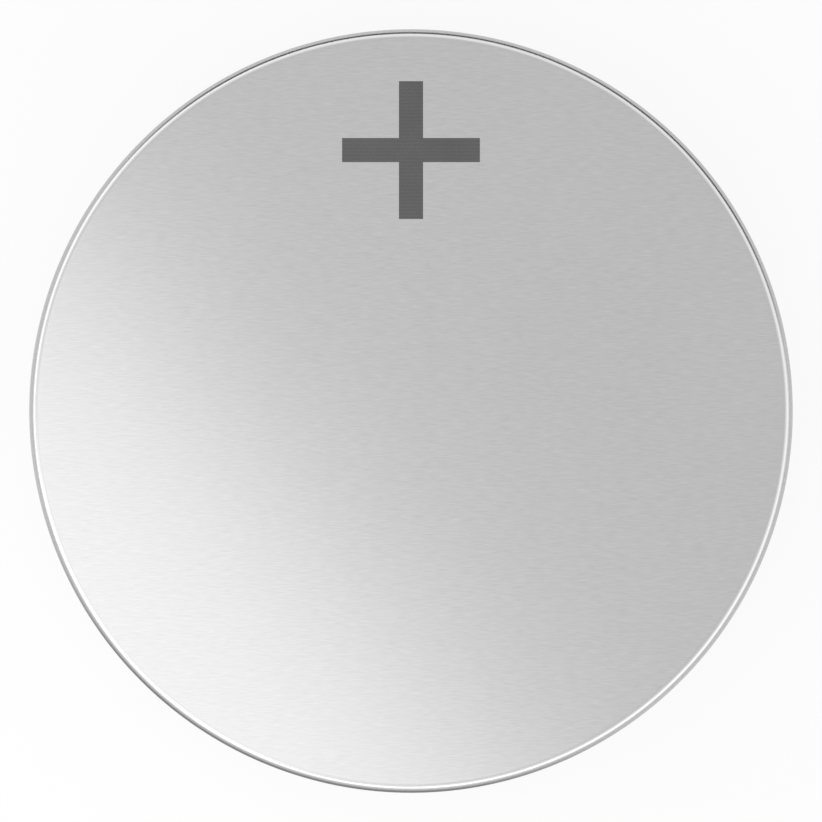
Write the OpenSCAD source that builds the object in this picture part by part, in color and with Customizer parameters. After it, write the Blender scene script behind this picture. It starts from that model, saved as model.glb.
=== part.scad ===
// Lithium coin cell, lying on its negative cap with the positive face up.
// The cell's axis is Z, the flat of the negative cap is at Z = 0 and the origin is its centre.
// Every piece but the collector is turned from a half section, with radius along X and height along Y.
// The can's crimp, the gasket's curl and the cap's shoulder are bends about one common centre.

/* [Cell] */
// Outer diameter of the can
cell_d = 20; // [16:0.1:30]
// Height from the negative face to the positive face
cell_h = 3.2; // [2.5:0.1:5]
// How far the negative face stands out past the crimped edge of the can
cap_proud = 0.25; // [0.15:0.01:0.35]

/* [Positive can] */
// Thickness of the can's sheet
can_t = 0.25; // [0.18:0.01:0.3]
// Inside radius of the bend round the positive face
can_bend_r = 0.05; // [0.03:0.01:0.2]
// Length of the flat lip past the crimp's bend
crimp_lip_w = 0.1; // [0.06:0.01:0.2]
// Radius worn on the outside corner of that lip
crimp_edge_r = 0.06; // [0.02:0.01:0.1]

/* [Negative cap] */
// Thickness of the cap's sheet
cap_t = 0.25; // [0.18:0.01:0.3]
// Inside radius of the bend round the negative face
cap_face_bend_r = 0.15; // [0.05:0.01:0.25]
// Inside radius of the two bends of the cap's step
cap_step_bend_r = 0.1; // [0.05:0.01:0.15]

/* [Gasket] */
// Thickness of the gasket between the can and the cap
gasket_t = 0.25; // [0.2:0.01:0.35]
// Width of the gasket's ring that shows between the crimp and the cap
gasket_ring_w = 0.2; // [0.15:0.01:0.4]
// How deep that ring lies below the crimped edge
gasket_sunk = 0.05; // [0:0.01:0.1]
// Thickness of the foot that the cap's skirt stands on
gasket_foot_t = 0.35; // [0.2:0.01:0.5]
// How far the foot reaches in from the skirt
gasket_foot_w = 0.85; // [0.5:0.05:1]
// Thickness of the rim that holds the skirt from inside
gasket_rim_t = 0.25; // [0.15:0.01:0.4]
// Height of that rim above the foot
gasket_rim_h = 0.4; // [0.2:0.05:0.6]
// Radius of the gasket's moulded edges
gasket_edge_r = 0.06; // [0.02:0.01:0.07]

/* [Electrodes] */
// Thickness of the lithium disc
anode_t = 0.6; // [0.4:0.05:0.8]
// Gap between the lithium disc and the cap's neck
anode_gap = 0.6; // [0.3:0.05:1.2]
// Thickness of the separator felt
separator_t = 0.2; // [0.1:0.01:0.25]
// Inside radius of the separator's turned-up edge
separator_bend_r = 0.15; // [0.05:0.01:0.3]
// Gap between the separator's edge and the floor of the can
separator_floor_gap = 0.2; // [0.1:0.05:0.7]
// Gap between the separator and the gasket's foot
separator_gap = 0.1; // [0.05:0.01:0.2]
// Gap between the cathode and the separator's edge
cathode_gap = 0.2; // [0.1:0.01:0.4]
// Chamfer of the pressed cathode's edges
cathode_chamfer = 0.15; // [0.05:0.01:0.3]

/* [Current collector] */
// Thickness of the collector's sheet
collector_t = 0.1; // [0.05:0.01:0.15]
// How far the collector stays in from the cathode's edge
collector_inset = 0.5; // [0.2:0.05:1.5]
// Long diagonal of a mesh opening
mesh_long = 2; // [1.4:0.1:3]
// Short diagonal of a mesh opening
mesh_short = 1.1; // [0.8:0.1:2]
// Width of the strands between the openings
mesh_strand = 0.22; // [0.15:0.01:0.35]
// Width of the plain border round the mesh
mesh_border = 0.3; // [0.2:0.05:1]

/* [Hidden] */
$fn = 180;

// Quarters that a bend or a rounded corner can fill, seen from its centre
UP_OUT = 0;
UP_IN = 1;
DOWN_IN = 2;
DOWN_OUT = 3;

// Radii of the can, and the bend round its face
cell_r = cell_d / 2;
can_in_r = cell_r - can_t;
floor_z = cell_h - can_t;
can_face_r = can_bend_r + can_t;
can_face_bend = [cell_r - can_face_r, cell_h - can_face_r];

// Radii of the nested bends of the seal, from the cap's shoulder out to the crimp
shoulder_r = cap_step_bend_r + cap_t;
curl_r = shoulder_r + gasket_t;
crimp_r = curl_r + can_t;

// Common centre of those bends, and the heights of the crimp's and the shoulder's faces
seal_centre = [cell_r - crimp_r, cap_proud + crimp_r];
lip_in_z = seal_centre.y - curl_r;
shoulder_z = seal_centre.y - shoulder_r;
lip_end_r = seal_centre.x - crimp_lip_w;

// Radii of the cap's neck and skirt, the height that the skirt reaches, and the cap's other bends
neck_r = lip_end_r - gasket_ring_w;
neck_in_r = neck_r - cap_t;
skirt_r = can_in_r - gasket_t;
skirt_in_r = skirt_r - cap_t;
foot_z = floor_z - gasket_foot_t;
cap_face_r = cap_face_bend_r + cap_t;
cap_face_bend = [neck_r - cap_face_r, cap_face_r];
cap_step_bend = [neck_r + cap_step_bend_r, shoulder_z - cap_step_bend_r];

// Radii of what lies inside the gasket's foot and inside the cap
foot_in_r = skirt_in_r - gasket_foot_w;
separator_r = foot_in_r - separator_gap;
cathode_r = separator_r - separator_t - cathode_gap;
collector_r = cathode_r - collector_inset;
anode_r = neck_in_r - anode_gap;

// Heights of the stack, from the cap's inside face to the can's floor
anode_z = cap_t;
separator_z = anode_z + anode_t;
cathode_z = separator_z + separator_t;
collector_z = floor_z - collector_t;

// Quarter of a disc about a centre
module quarter(centre, radius, turn) {
    translate(centre)
        rotate(90 * turn)
            intersection() {
                circle(radius);
                square(radius);
            }
}

// Quarter turn of a wall about a centre
module bend(centre, inside_r, outside_r, turn) {
    difference() {
        quarter(centre, outside_r, turn);
        translate(centre)
            circle(inside_r);
    }
}

// Straight stretch of a section, from its low inner corner to its high outer one
module stretch(low, high) {
    translate(low)
        square(high - low);
}

// The same stretch with one corner rounded
module rounded_stretch(low, high, radius, turn) {
    corner = [
        turn == UP_OUT || turn == DOWN_OUT ? high.x : low.x,
        turn == UP_OUT || turn == UP_IN ? high.y : low.y
    ];
    inward = [corner.x == low.x ? 1 : -1, corner.y == low.y ? 1 : -1];
    difference() {
        stretch(low, high);
        translate(corner + radius * inward)
            rotate(90 * turn)
                difference() {
                    square(2 * radius);
                    circle(radius);
                }
    }
}

// Deep-drawn cup, its edge crimped a quarter turn over the gasket
module positive_can() {
    color("silver")
        rotate_extrude() {
            stretch([0, floor_z], [can_face_bend.x, cell_h]);
            bend(can_face_bend, can_bend_r, can_face_r, UP_OUT);
            stretch([can_in_r, seal_centre.y], [cell_r, can_face_bend.y]);
            bend(seal_centre, curl_r, crimp_r, DOWN_OUT);
            rounded_stretch([lip_end_r, cap_proud], [seal_centre.x, lip_in_z], crimp_edge_r, DOWN_IN);
        }
}

// Moulded ring with a grooved foot, curled over the cap's shoulder by the crimp
module gasket() {
    ring_z = cap_proud + gasket_sunk;
    rim_low = [skirt_in_r - gasket_rim_t, foot_z - gasket_rim_h];
    ring_mid_r = (neck_r + lip_end_r) / 2;
    foot_mid_r = (foot_in_r + can_in_r) / 2;
    color("whitesmoke")
        rotate_extrude() {
            rounded_stretch([neck_r, ring_z], [ring_mid_r, lip_in_z], gasket_edge_r, DOWN_IN);
            rounded_stretch([ring_mid_r, ring_z], [lip_end_r, lip_in_z], gasket_edge_r, DOWN_OUT);
            rounded_stretch([neck_r, lip_in_z], [seal_centre.x, shoulder_z], cap_step_bend_r, UP_IN);
            bend(seal_centre, shoulder_r, curl_r, DOWN_OUT);
            stretch([skirt_r, seal_centre.y], [can_in_r, foot_z]);
            rounded_stretch([foot_mid_r, foot_z], [can_in_r, floor_z], can_bend_r, UP_OUT);
            rounded_stretch([foot_in_r, foot_z], [foot_mid_r, floor_z], gasket_edge_r, DOWN_IN);
            rounded_stretch(rim_low, [skirt_in_r, foot_z], gasket_edge_r, DOWN_IN);
        }
}

// Pressed lid with a stepped side, whose skirt stands on the gasket's foot
module negative_cap() {
    color("lightgray")
        rotate_extrude() {
            stretch([0, 0], [cap_face_bend.x, cap_t]);
            bend(cap_face_bend, cap_face_bend_r, cap_face_r, DOWN_OUT);
            stretch([neck_in_r, cap_face_bend.y], [neck_r, cap_step_bend.y]);
            bend(cap_step_bend, cap_step_bend_r, shoulder_r, UP_IN);
            stretch([cap_step_bend.x, shoulder_z], [seal_centre.x, shoulder_z + cap_t]);
            bend(seal_centre, cap_step_bend_r, shoulder_r, DOWN_OUT);
            stretch([skirt_in_r, seal_centre.y], [skirt_r, foot_z]);
        }
}

// One diamond opening of the mesh, less half a strand on each side
module mesh_opening() {
    side = norm([mesh_long, mesh_short]);
    half_long = mesh_long / 2 - mesh_strand * side / (2 * mesh_short);
    half_short = mesh_short / 2 - mesh_strand * side / (2 * mesh_long);
    polygon([[half_long, 0], [0, half_short], [-half_long, 0], [0, -half_short]]);
}

// Steel disc pierced as a diamond mesh, welded to the can's floor under the cathode
module current_collector() {
    open_r = collector_r - mesh_border;
    rows = 2 * ceil(open_r / mesh_short);
    columns = ceil(open_r / mesh_long);
    color("darkgray")
        translate([0, 0, collector_z])
            linear_extrude(collector_t)
                difference() {
                    circle(collector_r);
                    for (row = [-rows:rows], column = [-columns:columns]) {
                        place = [
                            (column + abs(row) % 2 / 2) * mesh_long,
                            row * mesh_short / 2
                        ];
                        reach = max(
                            norm([abs(place.x) + mesh_long / 2, place.y]),
                            norm([place.x, abs(place.y) + mesh_short / 2])
                        );
                        if (reach < open_r)
                            translate(place)
                                mesh_opening();
                    }
                }
}

// Tablet of pressed manganese dioxide powder
module cathode_pellet() {
    color("dimgray")
        rotate_extrude()
            polygon([
                [0, cathode_z],
                [cathode_r - cathode_chamfer, cathode_z],
                [cathode_r, cathode_z + cathode_chamfer],
                [cathode_r, collector_z - cathode_chamfer],
                [cathode_r - cathode_chamfer, collector_z],
                [0, collector_z]
            ]);
}

// Felt disc between the electrodes, its edge turned up round the cathode
module separator() {
    outer_r = separator_bend_r + separator_t;
    edge_bend = [separator_r - outer_r, separator_z + outer_r];
    color("white")
        rotate_extrude() {
            stretch([0, separator_z], [edge_bend.x, cathode_z]);
            bend(edge_bend, separator_bend_r, outer_r, DOWN_OUT);
            stretch([separator_r - separator_t, edge_bend.y], [separator_r, floor_z - separator_floor_gap]);
        }
}

// Punched disc of lithium foil, pressed on the inside of the cap
module lithium_anode() {
    color("gainsboro")
        translate([0, 0, anode_z])
            cylinder(h = anode_t, r = anode_r);
}

positive_can();
gasket();
negative_cap();
current_collector();
cathode_pellet();
separator();
lithium_anode();
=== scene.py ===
"""The finer pieces, the finish, the light and the camera of a lithium coin cell on its negative cap."""

import math

import bmesh
import bpy
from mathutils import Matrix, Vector


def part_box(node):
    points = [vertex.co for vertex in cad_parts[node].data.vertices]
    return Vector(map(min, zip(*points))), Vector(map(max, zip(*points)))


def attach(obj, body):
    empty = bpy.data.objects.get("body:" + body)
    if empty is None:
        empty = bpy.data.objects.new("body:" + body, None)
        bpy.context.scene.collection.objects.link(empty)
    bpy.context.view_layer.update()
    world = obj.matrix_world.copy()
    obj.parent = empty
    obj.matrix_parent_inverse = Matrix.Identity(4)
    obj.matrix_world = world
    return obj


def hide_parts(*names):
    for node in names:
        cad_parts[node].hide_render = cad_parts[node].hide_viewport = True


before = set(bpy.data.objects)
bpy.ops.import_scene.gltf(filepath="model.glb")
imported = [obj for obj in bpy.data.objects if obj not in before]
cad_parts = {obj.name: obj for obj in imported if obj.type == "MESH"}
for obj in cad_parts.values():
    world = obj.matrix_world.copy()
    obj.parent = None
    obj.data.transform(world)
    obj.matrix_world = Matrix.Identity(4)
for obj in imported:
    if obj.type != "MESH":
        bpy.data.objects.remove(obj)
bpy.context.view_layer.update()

MM = 0.001

# Sizes that the frame gives
can_low, can_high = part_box("positive_can")
gasket_low, gasket_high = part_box("gasket")
cap_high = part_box("negative_cap")[1]
CELL_R, CELL_TOP = can_high.x, can_high.z
CAN_IN_R, FLOOR_Z = gasket_high.x, gasket_high.z
SKIRT_R, FOOT_Z = cap_high.x, cap_high.z
CAP_PROUD, RING_Z = can_low.z, gasket_low.z
CAN_T = CELL_R - CAN_IN_R
GASKET_T = CAN_IN_R - SKIRT_R

# Sizes of the section that the frame does not give, as in the part's source
CAN_BEND_R = 0.05 * MM
LIP_W = 0.1 * MM
LIP_EDGE_R = 0.06 * MM
CAP_T = 0.25 * MM
CAP_FACE_BEND_R = 0.15 * MM
CAP_STEP_BEND_R = 0.1 * MM
RING_W = 0.2 * MM
FOOT_W = 0.85 * MM
RIM_T = 0.25 * MM
RIM_H = 0.4 * MM
GASKET_EDGE_R = 0.06 * MM

# The seal's nested bends about one centre, and the cap's neck
FACE_BEND_R = CAN_BEND_R + CAN_T
FACE_BEND = Vector((CELL_R - FACE_BEND_R, CELL_TOP - FACE_BEND_R))
SHOULDER_R = CAP_STEP_BEND_R + CAP_T
CURL_R = SHOULDER_R + GASKET_T
CRIMP_R = CURL_R + CAN_T
SEAL_CENTRE = Vector((CELL_R - CRIMP_R, CAP_PROUD + CRIMP_R))
LIP_END_R = SEAL_CENTRE.x - LIP_W
LIP_IN_Z = SEAL_CENTRE.y - CURL_R
SHOULDER_Z = SEAL_CENTRE.y - SHOULDER_R
NECK_R = LIP_END_R - RING_W
CAP_FACE_R = CAP_FACE_BEND_R + CAP_T
CAP_FACE_BEND = Vector((NECK_R - CAP_FACE_R, CAP_FACE_R))
CAP_STEP_BEND = Vector((NECK_R + CAP_STEP_BEND_R, SHOULDER_Z - CAP_STEP_BEND_R))

# How finely the turned pieces are divided: round the axis, and in degrees along an arc of the section
TURN_DIVISIONS = 288
ARC_STEP = 6
# A straight stretch longer than LONG gets a point at the distance HOLD from each of its ends
LONG = 0.15 * MM
HOLD = 0.008 * MM
# Points closer than WELD become one, and edges sharper than SHARP stay sharp
WELD = 0.0001 * MM
SHARP = math.radians(30)

# Polarity mark on the positive face, raised in ribs that lie a pitch apart
MARK_ARM = 3.6 * MM
MARK_STROKE = 0.63 * MM
MARK_Y = 6.815 * MM
MARK_PROUD = 0.004 * MM
MARK_RIB = 0.001 * MM
MARK_PITCH = 0.09 * MM
# Faces of the mark to a pitch, along X and along Y
MARK_FACES_X = 2
MARK_FACES_Y = 4

# Where the steel's finish changes, in millimetres: down from the positive face, up from the centre
# of the seal's bends, and out from the edge of the negative face
FACE_TO_SIDE = (0.005, 0.02)
# Painted highlight: between these two depths below the positive face the steel's colour goes near-white in
# a ring
PAINTED_HIGHLIGHT_START = (0.005, 0.022)
PAINTED_HIGHLIGHT_END = (0.055, 0.08)
CRIMP_TO_SIDE = (-0.15, 0.1)
CAP_FACE_TO_NECK = (0, 0.1)

# Camera: the width that it sees at the positive face, and its clipping as shares of its distance
PICTURE_W = 21.47 * MM
LENS = 180
SENSOR = 36
CLIP_START = 0.1
CLIP_END = 20

# Sky: levels of light, and places in it as coordinates of a unit sphere
SKY_LEVEL = 0.79
BAND_LEVEL = 1.14
BAND_LEAN = (0.2, 0.33)
BAND_TOP = 0.54
BAND_FADE = 0.08
HORIZON_LEVEL = 0.08
HORIZON_FRONT = 0.62
HORIZON_LEAN = 0.25
HORIZON_TURN = (0.3, 0.75)
HORIZON_TOP = 0.32
HORIZON_FADE = 0.06
HORIZON_FOOT = (-0.06, 0)

# Lamp: a level square, its near edge at the distance KEY_EDGE from the cell's axis
KEY_LEVEL = 0.38
KEY_SIZE = 38 * MM
KEY_HEIGHT = 30 * MM
KEY_EDGE = 5.5 * MM
KEY_SIDE = math.radians(219)
KEY_SPREAD = math.radians(120)

# Floor: its greys, the shares of plain white that the camera and the steel see, and the darker wedge
# that the steel mirrors. FLOOR_FADE, DARK_START and DARK_END are in millimetres from the cell's axis.
FLOOR_SIZE = 800 * MM
FLOOR_DROP = 0.002 * MM
FLOOR_GREY = 0.65
FLOOR_SEEN_GREY = 0.95
FLOOR_SEEN_WHITE = 0.88
FLOOR_FADE = (15, 60)
FLOOR_MIRRORED_WHITE = 0.6
DARK_SIDE = math.radians(250)
DARK_WEDGE = (0.5, 0.95)
DARK_START = (CELL_R / MM - 0.5, CELL_R / MM)
DARK_END = (17, 35)
DARK_SHARE = 0.85

# Where a Mix node keeps its two inputs and its output for each kind of data
MIX_SOCKETS = {"VECTOR": (4, 5, 1), "RGBA": (6, 7, 2)}


class Value:
    """A socket of a node tree, so that sums written with it add Math nodes."""

    def __init__(self, tree, socket):
        self.tree = tree
        self.socket = socket

    def maths(self, operation, *others):
        """A Math node with this value first."""
        return self.tree.node("ShaderNodeMath", {"operation": operation}, [self, *others])

    def reflected(self, operation, other):
        """A Math node with this value second."""
        return self.tree.node("ShaderNodeMath", {"operation": operation}, [other, self])

    def __add__(self, other):
        return self.maths("ADD", other)

    def __sub__(self, other):
        return self.maths("SUBTRACT", other)

    def __mul__(self, other):
        return self.maths("MULTIPLY", other)

    def __truediv__(self, other):
        return self.maths("DIVIDE", other)

    def __rsub__(self, other):
        return self.reflected("SUBTRACT", other)

    def __rtruediv__(self, other):
        return self.reflected("DIVIDE", other)

    __radd__ = __add__
    __rmul__ = __mul__

    def step(self, low, high):
        """0 below low, 1 above high and a smooth rise between them."""
        return self.tree.node(
            "ShaderNodeMapRange",
            {"interpolation_type": "SMOOTHSTEP"},
            {"Value": self, "From Min": low, "From Max": high},
        )


class Tree:
    """A node tree under construction."""

    def __init__(self, nodes):
        self.nodes = nodes

    def node(self, kind, settings=None, inputs=None, output=0):
        """Adds a node, with its settings and then its sockets' values or links, and gives one output."""
        made = self.nodes.nodes.new(kind)
        for name, setting in (settings or {}).items():
            setattr(made, name, setting)
        pairs = inputs.items() if isinstance(inputs, dict) else enumerate(inputs or [])
        for key, value in pairs:
            sources = value if isinstance(value, list) else [value]
            for source in sources:
                if isinstance(source, Value):
                    self.nodes.links.new(source.socket, made.inputs[key])
                else:
                    made.inputs[key].default_value = source
        return Value(self, made.outputs[output]) if made.outputs else None

    def parts(self, vector, axes):
        """Coordinates of a vector, by the letters of their axes."""
        return [self.node("ShaderNodeSeparateXYZ", None, [vector], axis) for axis in axes]


class Finish(Tree):
    """A material under construction."""

    def __init__(self, name):
        self.material = bpy.data.materials.new(name)
        self.material.use_nodes = True
        super().__init__(self.material.node_tree)
        self.nodes.nodes.clear()
        metres = self.node("ShaderNodeTexCoord", output="Object")
        self.place = self.node("ShaderNodeVectorMath", {"operation": "SCALE"}, {0: metres, "Scale": 1 / MM})

    def along(self, axes):
        """Coordinates of the place on the piece, in millimetres."""
        return self.parts(self.place, axes)

    def radius(self):
        """Distance from the cell's axis, in millimetres."""
        flat = self.node("ShaderNodeVectorMath", {"operation": "MULTIPLY"}, [self.place, (1, 1, 0)])
        return self.node("ShaderNodeVectorMath", {"operation": "LENGTH"}, [flat], "Value")

    def stretched(self, scale):
        """The place, scaled along each axis to a number of grains a millimetre."""
        return self.node("ShaderNodeVectorMath", {"operation": "MULTIPLY"}, [self.place, scale])

    def noise(self, place, detail):
        """Noise about 0."""
        sockets = {"Vector": place, "Scale": 1.0, "Detail": detail}
        return self.node("ShaderNodeTexNoise", None, sockets) - 0.5

    def mix(self, factor, first, second, kind="RGBA"):
        """A colour or a vector between two."""
        start, end, output = MIX_SOCKETS[kind]
        sockets = {"Factor": factor, start: first, end: second}
        return self.node("ShaderNodeMix", {"data_type": kind}, sockets, output)

    def bump(self, height, rise):
        """Relief that rises by a number of millimetres where the height goes from 0 to 1."""
        sockets = {"Strength": 1.0, "Distance": rise * MM, "Height": height}
        return self.node("ShaderNodeBump", None, sockets)

    def finished(self, **sockets):
        """The material, with a Principled shader that has these sockets."""
        named = {name.replace("_", " "): value for name, value in sockets.items()}
        shader = self.node("ShaderNodeBsdfPrincipled", None, named)
        self.node("ShaderNodeOutputMaterial", None, [shader])
        return self.material


class Form(Tree):
    """The geometry tree of one piece under construction, which works on a start mesh."""

    def __init__(self, name, start):
        super().__init__(bpy.data.node_groups.new(name, "GeometryNodeTree"))
        self.name = name
        self.start = start
        self.sizes = {}
        for way, socket in (("INPUT", "Start"), ("OUTPUT", "Piece")):
            self.nodes.interface.new_socket(name=socket, in_out=way, socket_type="NodeSocketGeometry")

    def given(self, name):
        """One of the tree's inputs."""
        return self.node("NodeGroupInput", output=name)

    def size(self, name, value, kind="NodeSocketFloat"):
        """A new input, named for a size, and the value that the modifier gives it."""
        made = self.nodes.interface.new_socket(name=name, in_out="INPUT", socket_type=kind)
        made.default_value = value
        self.sizes[made.identifier] = value
        return self.given(name)

    def finished(self, shape, material):
        """The piece: a plain mesh of the tree's shape, with its normals outwards."""
        whole = self.node("GeometryNodeRealizeInstances", None, [shape])
        coated = self.node("GeometryNodeSetMaterial", None, {"Geometry": whole, "Material": material})
        self.node("NodeGroupOutput", None, [coated])
        draft = placed(self.name + "_draft", self.start)
        modifier = draft.modifiers.new(self.name, "NODES")
        modifier.node_group = self.nodes
        for identifier, value in self.sizes.items():
            modifier[identifier] = value
        bpy.context.view_layer.update()
        evaluated = draft.evaluated_get(bpy.context.evaluated_depsgraph_get())
        mesh = bpy.data.meshes.new_from_object(evaluated)
        bpy.data.objects.remove(draft)
        # The tree puts its material behind an empty first slot
        mesh.materials.pop(index=0)
        work = bmesh.new()
        work.from_mesh(mesh)
        bmesh.ops.recalc_face_normals(work, faces=work.faces)
        work.to_mesh(mesh)
        work.free()
        mesh.set_sharp_from_angle(angle=SHARP)
        mesh.name = self.name
        return placed(self.name, mesh)


def placed(name, data):
    """A new object of the scene, at the origin."""
    made = bpy.data.objects.new(name, data)
    bpy.context.scene.collection.objects.link(made)
    return made


def grey(level, warmth=0.0):
    """A grey, with a share more red and the same share less blue where it is warm."""
    return (level * (1 + warmth), level, level * (1 - warmth), 1)


def can_steel():
    """Satin steel: rolled on the face, with a highlight ring painted near-white on its edge, drawn up the
    side, ringed on the crimp.
    """
    f = Finish("can_steel")
    x, height = f.along("XZ")
    below_face = CELL_TOP / MM - height
    side = below_face.step(*FACE_TO_SIDE)
    crimped = 1 - (height - SEAL_CENTRE.y / MM).step(*CRIMP_TO_SIDE)
    rolled = f.stretched((3, 46, 46))
    drawn = f.stretched((16, 16, 0.4))
    ringed = f.node("ShaderNodeCombineXYZ", None, [f.radius() * 18, height * 18, x * 0.5])
    lines = f.mix(crimped, drawn, ringed, "VECTOR")
    grain = f.noise(f.mix(side, rolled, lines, "VECTOR"), 3)
    cloud = f.noise(f.stretched((0.22, 0.22, 0.22)), 1)
    colour = f.mix(0.5 + grain * 1.4 + cloud * 0.1, grey(0.55), grey(0.69))
    # Painted highlight: a narrow ring where the face starts to bend gets a near-white colour, standing for
    # the bright line that light makes there
    painted_highlight = below_face.step(*PAINTED_HIGHLIGHT_START) * (1 - below_face.step(*PAINTED_HIGHLIGHT_END))
    colour = f.mix(painted_highlight, colour, grey(0.95))
    rough = 0.34 + grain * 0.1 + cloud * 0.03 - side * 0.17 + crimped * 0.04
    return f.finished(Base_Color=colour, Metallic=1.0, Roughness=rough, Normal=f.bump(grain, 0.0006))


def cap_steel():
    """Pressed stainless steel with a fine matt grain on its face and a brighter neck."""
    f = Finish("cap_steel")
    side = (f.radius() - CAP_FACE_BEND.x / MM).step(*CAP_FACE_TO_NECK)
    grain = f.noise(f.stretched((30, 30, 30)), 3)
    cloud = f.noise(f.stretched((0.3, 0.3, 0.3)), 1)
    colour = f.mix(0.5 + grain * 2.5 + cloud * 0.3, grey(0.52), grey(0.67))
    rough = 0.38 + grain * 0.2 + cloud * 0.06 - side * 0.16
    return f.finished(Base_Color=colour, Metallic=1.0, Roughness=rough, Normal=f.bump(grain, 0.002))


def gasket_plastic():
    """Milky moulded polypropylene."""
    f = Finish("gasket_plastic")
    cloud = f.noise(f.stretched((1.2, 1.2, 1.2)), 2)
    grain = f.noise(f.stretched((18, 18, 18)), 2)
    colour = f.mix(0.5 + cloud * 0.8 + grain * 0.8, grey(0.62, 0.02), grey(0.76, 0.015))
    return f.finished(Base_Color=colour, Roughness=0.42 + grain * 0.2, Normal=f.bump(grain, 0.003))


def marking():
    """Dark oxide that a laser leaves, a shade lighter along its ribs."""
    f = Finish("polarity_mark")
    from_centre = f.along("Y")[0] - MARK_Y / MM
    row = (from_centre * (2 * math.pi * MM / MARK_PITCH)).maths("COSINE")
    grain = f.noise(f.stretched((30, 30, 30)), 2)
    cloud = f.noise(f.stretched((1.5, 1.5, 1.5)), 1)
    colour = f.mix(0.5 + grain * 1.5 + cloud * 0.4 + row * 0.15, grey(0.13), grey(0.18))
    rough = 0.36 + grain * 0.15
    return f.finished(Base_Color=colour, Metallic=1.0, Roughness=rough, Normal=f.bump(grain, 0.001))


def collector_mesh():
    """Bare punched stainless steel."""
    f = Finish("collector_mesh")
    grain = f.noise(f.stretched((3, 20, 20)), 2)
    colour = f.mix(0.5 + grain, grey(0.45), grey(0.58))
    rough = 0.36 + grain * 0.15
    return f.finished(Base_Color=colour, Metallic=1.0, Roughness=rough, Normal=f.bump(grain, 0.001))


def cathode_powder():
    """Matt black pressed powder, with a few lighter grains."""
    f = Finish("cathode_powder")
    grain = f.noise(f.stretched((14, 14, 14)), 4)
    speck = f.noise(f.stretched((40, 40, 40)), 1).step(0.16, 0.24)
    colour = f.mix(0.4 + grain * 0.9 + speck * 0.5, grey(0.018), grey(0.06, 0.03))
    return f.finished(Base_Color=colour, Roughness=0.82 + grain * 0.2, Normal=f.bump(grain, 0.02))


def separator_felt():
    """White felt, its fibres lying every way in the sheet."""
    f = Finish("separator_felt")
    fibres = None
    for turn in (15, 75, 135):
        sockets = {"Vector": f.place, "Angle": math.radians(turn)}
        lay = f.node("ShaderNodeVectorRotate", {"rotation_type": "Z_AXIS"}, sockets)
        lay = f.node("ShaderNodeVectorMath", {"operation": "MULTIPLY"}, [lay, (1.5, 22, 6)])
        layer = f.noise(lay, 2)
        fibres = fibres.maths("MAXIMUM", layer) if fibres else layer
    colour = f.mix(0.4 + fibres * 1.6, grey(0.7, 0.01), grey(0.9, 0.01))
    return f.finished(Base_Color=colour, Roughness=0.9 - fibres * 0.2, Normal=f.bump(fibres, 0.03))


def lithium_foil():
    """Soft dull silver foil, with the rollers' streaks and a faint grey bloom."""
    f = Finish("lithium_foil")
    streak = f.noise(f.stretched((0.4, 9, 9)), 3)
    bloom = f.noise(f.stretched((0.6, 0.6, 0.6)), 3).step(-0.05, 0.2)
    colour = f.mix(0.6 + streak * 0.6 - bloom * 0.4, grey(0.42), grey(0.72))
    rough = 0.42 + streak * 0.1 + bloom * 0.15
    return f.finished(Base_Color=colour, Metallic=1.0, Roughness=rough, Normal=f.bump(streak, 0.003))


def arc(centre, radius, start, end):
    """Points of an arc about a centre, from one angle in degrees to another."""
    steps = max(2, round(abs(end - start) / ARC_STEP))
    turns = [math.radians(start + (end - start) * i / steps) for i in range(steps + 1)]
    return [centre + radius * Vector((math.cos(t), math.sin(t))) for t in turns]


def can_section():
    """Half section of the can, from the middle of the positive face round to the middle of its floor."""
    lip_corner = Vector((LIP_END_R + LIP_EDGE_R, CAP_PROUD + LIP_EDGE_R))
    return [
        Vector((0, CELL_TOP)),
        *arc(FACE_BEND, FACE_BEND_R, 90, 0),
        *arc(SEAL_CENTRE, CRIMP_R, 0, -90),
        *arc(lip_corner, LIP_EDGE_R, 270, 180),
        Vector((LIP_END_R, LIP_IN_Z)),
        *arc(SEAL_CENTRE, CURL_R, -90, 0),
        *arc(FACE_BEND, CAN_BEND_R, 0, 90),
        Vector((0, FLOOR_Z)),
    ]


def cap_section():
    """Half section of the cap, from the middle of its inside round to the middle of the negative face."""
    return [
        Vector((0, CAP_T)),
        *arc(CAP_FACE_BEND, CAP_FACE_BEND_R, -90, 0),
        *arc(CAP_STEP_BEND, SHOULDER_R, 180, 90),
        *arc(SEAL_CENTRE, CAP_STEP_BEND_R, -90, 0),
        Vector((SKIRT_R - CAP_T, FOOT_Z)),
        Vector((SKIRT_R, FOOT_Z)),
        *arc(SEAL_CENTRE, SHOULDER_R, 0, -90),
        *arc(CAP_STEP_BEND, CAP_STEP_BEND_R, 90, 180),
        *arc(CAP_FACE_BEND, CAP_FACE_R, 0, -90),
        Vector((0, 0)),
    ]


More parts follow.
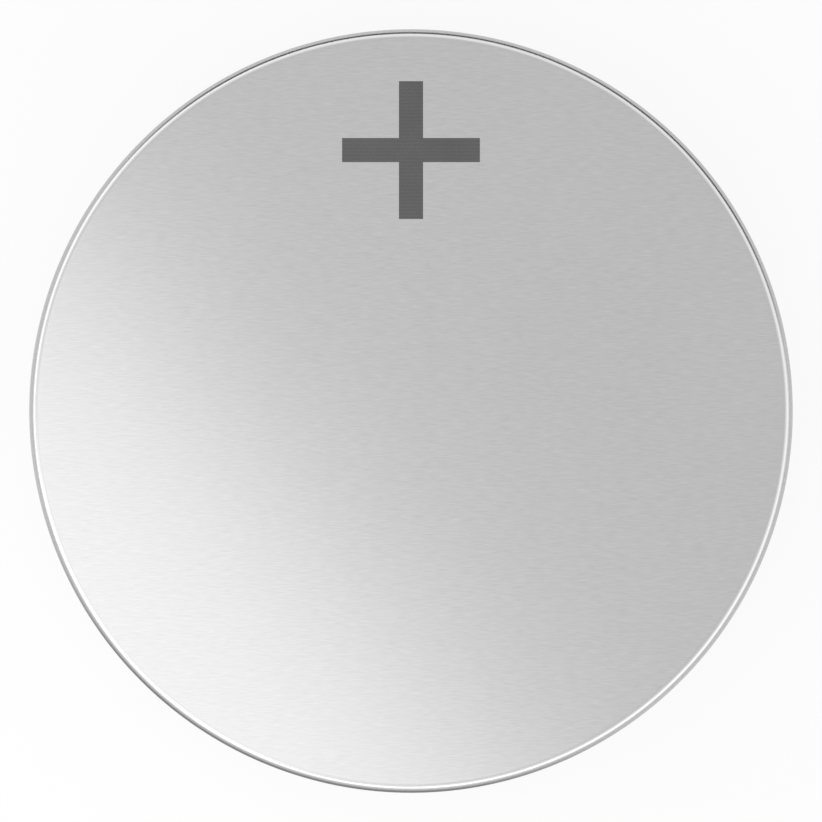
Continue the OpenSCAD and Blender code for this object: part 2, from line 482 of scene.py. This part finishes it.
def gasket_section():
    """Section of the gasket, a closed outline that starts at the ring's inner edge."""
    edge = GASKET_EDGE_R
    skirt_in_r = SKIRT_R - CAP_T
    foot_in_r = skirt_in_r - FOOT_W
    rim_in_r = skirt_in_r - RIM_T
    rim_z = FOOT_Z - RIM_H
    outline = [
        *arc(Vector((NECK_R + edge, RING_Z + edge)), edge, 180, 270),
        *arc(Vector((LIP_END_R - edge, RING_Z + edge)), edge, -90, 0),
        Vector((LIP_END_R, LIP_IN_Z)),
        *arc(SEAL_CENTRE, CURL_R, -90, 0),
        *arc(FACE_BEND, CAN_BEND_R, 0, 90),
        Vector((foot_in_r, FLOOR_Z)),
        *arc(Vector((foot_in_r + edge, FOOT_Z + edge)), edge, 180, 270),
        Vector((rim_in_r, FOOT_Z)),
        *arc(Vector((rim_in_r + edge, rim_z + edge)), edge, 180, 270),
        Vector((skirt_in_r, rim_z)),
        Vector((skirt_in_r, FOOT_Z)),
        Vector((SKIRT_R, FOOT_Z)),
        *arc(SEAL_CENTRE, SHOULDER_R, 0, -90),
        *arc(CAP_STEP_BEND, CAP_STEP_BEND_R, 90, 180),
    ]
    return outline + outline[:1]


def held(outline):
    """The outline with points near the ends of its long straights, which keep their shading flat."""
    points = [outline[0]]
    for point in outline[1:]:
        reach = point - points[-1]
        if reach.length > LONG:
            hold = reach.normalized() * HOLD
            points += [points[-1] + hold, point - hold]
        points.append(point)
    return points


def turned(name, outline, material):
    """A piece turned about Z from its section, by a sheet whose columns each take the section's points."""
    points = held(outline)
    section = bpy.data.meshes.new(name + "_section")
    section.from_pydata([(p.x, 0, p.y) for p in points], [(i, i + 1) for i in range(len(points) - 1)], [])
    tree = Form(name, section)
    divisions = tree.size("Divisions", TURN_DIVISIONS, "NodeSocketInt")
    weld = tree.size("Weld distance", WELD)
    line = tree.given("Start")
    count = tree.node("GeometryNodeAttributeDomainSize", {"component": "MESH"}, [line], "Point Count")
    sheet = tree.node("GeometryNodeMeshGrid", None, {"Vertices X": divisions + 1, "Vertices Y": count})
    index = tree.node("GeometryNodeInputIndex")
    column = ((index + 0.5) / count).maths("FLOOR")
    row = index - column * count
    place = tree.node("GeometryNodeInputPosition")
    sockets = {"Geometry": line, "Value": place, "Index": row}
    point = tree.node("GeometryNodeSampleIndex", {"data_type": "FLOAT_VECTOR"}, sockets)
    radius, height = tree.parts(point, "XZ")
    turn = column * (2 * math.pi / divisions)
    x, y = (radius * turn.maths(ratio) for ratio in ("COSINE", "SINE"))
    swept = tree.node("ShaderNodeCombineXYZ", None, [x, y, height])
    moved = tree.node("GeometryNodeSetPosition", None, {"Geometry": sheet, "Position": swept})
    closed = tree.node("GeometryNodeMergeByDistance", None, {"Geometry": moved, "Distance": weld})
    smooth = tree.node("GeometryNodeSetShadeSmooth", None, [closed])
    return tree.finished(smooth, material)


def polarity_mark(material):
    """The plus that shows the positive face: a square without its corners, raised in fine ribs."""
    tree = Form("polarity_mark", bpy.data.meshes.new("mark_start"))
    arm = tree.size("Arm", MARK_ARM)
    stroke = tree.size("Stroke", MARK_STROKE)
    pitch = tree.size("Pitch", MARK_PITCH)
    proud = tree.size("Proud", MARK_PROUD)
    rib = tree.size("Rib", MARK_RIB)
    centre_y = tree.size("Centre Y", MARK_Y)
    face_z = tree.size("Face Z", CELL_TOP)
    weld = tree.size("Weld distance", WELD)
    columns, rows = ((arm / pitch * faces).maths("ROUND") + 1 for faces in (MARK_FACES_X, MARK_FACES_Y))
    sockets = {"Size X": arm, "Size Y": arm, "Vertices X": columns, "Vertices Y": rows}
    square = tree.node("GeometryNodeMeshGrid", None, sockets)
    x, y = tree.parts(tree.node("GeometryNodeInputPosition"), "XY")
    beyond_x, beyond_y = (axis.maths("ABSOLUTE").maths("GREATER_THAN", stroke / 2) for axis in (x, y))
    sockets = {"Geometry": square, "Selection": beyond_x * beyond_y}
    plus = tree.node("GeometryNodeDeleteGeometry", {"domain": "FACE"}, sockets)
    wave = (y * (2 * math.pi / pitch)).maths("COSINE")
    lift = tree.node("ShaderNodeCombineXYZ", None, {"Z": proud + wave * rib})
    sockets = {"Mesh": plus, "Offset": lift, "Individual": False}
    raised = tree.node("GeometryNodeExtrudeMesh", None, sockets)
    under = tree.node("GeometryNodeFlipFaces", None, [plus])
    both = tree.node("GeometryNodeJoinGeometry", None, {"Geometry": [raised, under]})
    closed = tree.node("GeometryNodeMergeByDistance", None, {"Geometry": both, "Distance": weld})
    spot = tree.node("ShaderNodeCombineXYZ", None, {"Y": centre_y, "Z": face_z})
    moved = tree.node("GeometryNodeSetPosition", None, {"Geometry": closed, "Offset": spot})
    return tree.finished(moved, material)


def dress(node, material):
    """Gives a CAD node its finish."""
    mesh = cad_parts[node].data
    mesh.materials.clear()
    mesh.materials.append(material)


def floor_plane():
    """A white floor that keeps the cell's shadow, and that the steel mirrors darker on one side."""
    reach = FLOOR_SIZE / 2
    corners = [(x * reach, y * reach, 0) for x, y in ((-1, -1), (1, -1), (1, 1), (-1, 1))]
    mesh = bpy.data.meshes.new("floor")
    mesh.from_pydata(corners, [], [(0, 1, 2, 3)])
    floor = placed("floor", mesh)
    floor.location.z = -FLOOR_DROP
    f = Finish("floor_white")
    seen = f.node("ShaderNodeLightPath", output="Is Camera Ray")
    mirrored = f.node("ShaderNodeLightPath", output="Is Glossy Ray")
    x, y = f.along("XY")
    r = f.radius()
    toward = (x * math.cos(DARK_SIDE) + y * math.sin(DARK_SIDE)) / r
    near = r.step(*DARK_START) * (1 - r.step(*DARK_END))
    dark = toward.step(*DARK_WEDGE) * near * DARK_SHARE
    tone = f.mix(seen, grey(FLOOR_GREY), grey(FLOOR_SEEN_GREY))
    lit = f.node("ShaderNodeBsdfDiffuse", None, {"Color": tone})
    white = f.node("ShaderNodeEmission", None, {"Color": grey(1.0), "Strength": 1 - mirrored * dark})
    white_seen = FLOOR_SEEN_WHITE + (1 - FLOOR_SEEN_WHITE) * r.step(*FLOOR_FADE)
    share = seen * white_seen + mirrored * FLOOR_MIRRORED_WHITE
    top = f.node("ShaderNodeMixShader", None, [share, lit, white])
    under = f.node("ShaderNodeNewGeometry", output="Backfacing")
    clear = f.node("ShaderNodeBsdfTransparent")
    both = f.node("ShaderNodeMixShader", None, [under, top, clear])
    f.node("ShaderNodeOutputMaterial", None, [both])
    mesh.materials.append(f.material)


def studio():
    """An even sky with a bright band and a dim horizon below it, and one soft lamp near the cell."""
    world = bpy.data.worlds.new("studio")
    bpy.context.scene.world = world
    world.use_nodes = True
    sky = Tree(world.node_tree)
    sky.nodes.nodes.clear()
    x, y, up = sky.parts(sky.node("ShaderNodeTexCoord", output="Generated"), "XYZ")
    above = up.step(HORIZON_TOP, HORIZON_TOP + HORIZON_FADE)
    band = above * (1 - up.step(BAND_TOP, BAND_TOP + BAND_FADE))
    below = 1 - up.step(*HORIZON_FOOT)
    dim = HORIZON_LEVEL + HORIZON_FRONT * (1 - (y + x * HORIZON_LEAN).step(*HORIZON_TURN))
    bright = BAND_LEVEL - BAND_LEAN[0] * x - BAND_LEAN[1] * y
    level = SKY_LEVEL + band * (bright - SKY_LEVEL) + (1 - above - below) * (dim - SKY_LEVEL)
    seen = sky.node("ShaderNodeLightPath", output="Is Camera Ray")
    sockets = {"Color": grey(1.0), "Strength": level * (1 - seen) + seen}
    background = sky.node("ShaderNodeBackground", None, sockets)
    sky.node("ShaderNodeOutputWorld", None, [background])

    light = bpy.data.lights.new("key", "AREA")
    light.shape = "SQUARE"
    light.size = KEY_SIZE
    light.spread = KEY_SPREAD
    light.energy = KEY_LEVEL * math.pi * KEY_SIZE ** 2
    key = placed("key", light)
    reach = KEY_EDGE + KEY_SIZE / 2
    key.location = (reach * math.cos(KEY_SIDE), reach * math.sin(KEY_SIDE), KEY_HEIGHT)
    key.rotation_euler = (0, 0, KEY_SIDE)
    key.visible_camera = False


def camera():
    """The camera, straight above the positive face."""
    data = bpy.data.cameras.new("camera")
    data.lens = LENS
    data.sensor_width = SENSOR
    distance = PICTURE_W * LENS / SENSOR
    data.clip_start = distance * CLIP_START
    data.clip_end = distance * CLIP_END
    piece = placed("camera", data)
    piece.location = (0, 0, CELL_TOP + distance)
    bpy.context.scene.camera = piece


dress("current_collector", collector_mesh())
dress("cathode_pellet", cathode_powder())
dress("separator", separator_felt())
dress("lithium_anode", lithium_foil())

for name, outline, material, node, slot in (
    ("can_sheet", can_section(), can_steel(), "positive_can", "can_steel"),
    ("cap_sheet", cap_section(), cap_steel(), "negative_cap", "cap_steel"),
    ("gasket_moulding", gasket_section(), gasket_plastic(), "gasket", "gasket_plastic"),
):
    piece = turned(name, outline, material)
    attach(piece, "root")
    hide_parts(node)

mark = polarity_mark(marking())
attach(mark, "root")

bpy.context.scene.view_settings.view_transform = "Standard"
floor_plane()
studio()
camera()
